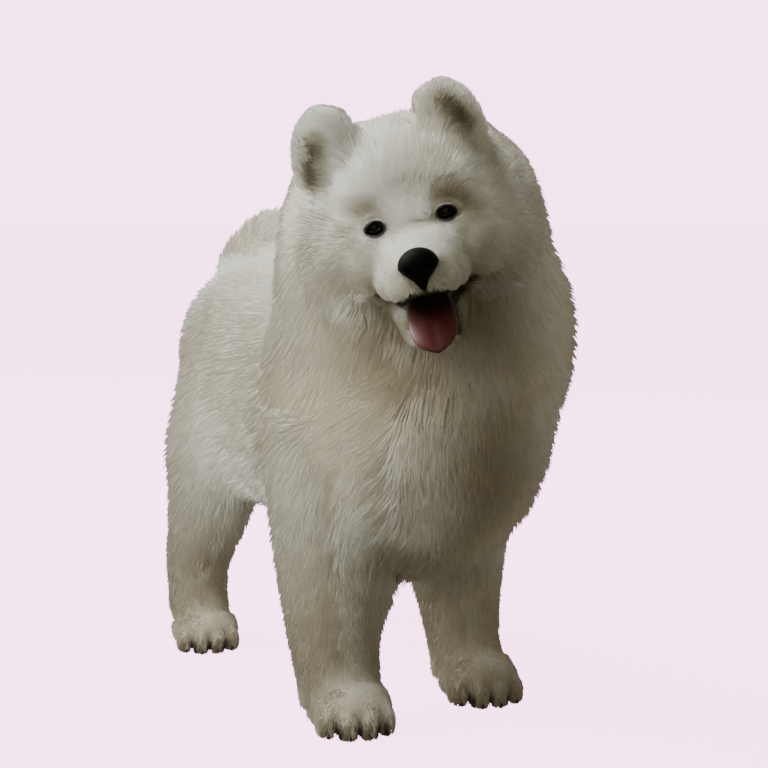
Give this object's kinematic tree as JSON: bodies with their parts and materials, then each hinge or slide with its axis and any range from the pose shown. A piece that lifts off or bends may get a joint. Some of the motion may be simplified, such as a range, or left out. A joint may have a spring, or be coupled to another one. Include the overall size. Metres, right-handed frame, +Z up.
{
  "type": "samoyed dog",
  "caption": "Life-size standing samoyed with a deep white coat and ruff, small round-tipped ears, a plumed tail over the back, and its head turned, mouth open.",
  "frame": {"origin": "on the floor, under the middle of the dog's bounds", "axes": "+X to the dog's left, -Y the way its body faces, +Z up"},
  "size_m": [0.3978, 0.845, 0.7143],
  "materials": {
    "coat": "deep soft white fur, cream on ears, cheeks and legs",
    "eye": "wet, very dark brown",
    "nose": "moist black pebbled leather",
    "tongue": "moist pink"
  },
  "bodies": {
    "root": {"head": "coat", "jaw": "coat", "nose": "nose", "tongue": "tongue", "eye_left": "eye", "eye_right": "eye", "ear_left": "coat", "ear_right": "coat", "neck": "coat", "torso": "coat", "tail_base": "coat", "tail_plume": "coat", "foreleg_left": "coat", "forepaw_left": "coat", "thigh_left": "coat", "hock_left": "coat", "hindpaw_left": "coat", "foreleg_right": "coat", "forepaw_right": "coat", "thigh_right": "coat", "hock_right": "coat", "hindpaw_right": "coat"}
  },
  "joints": []
}
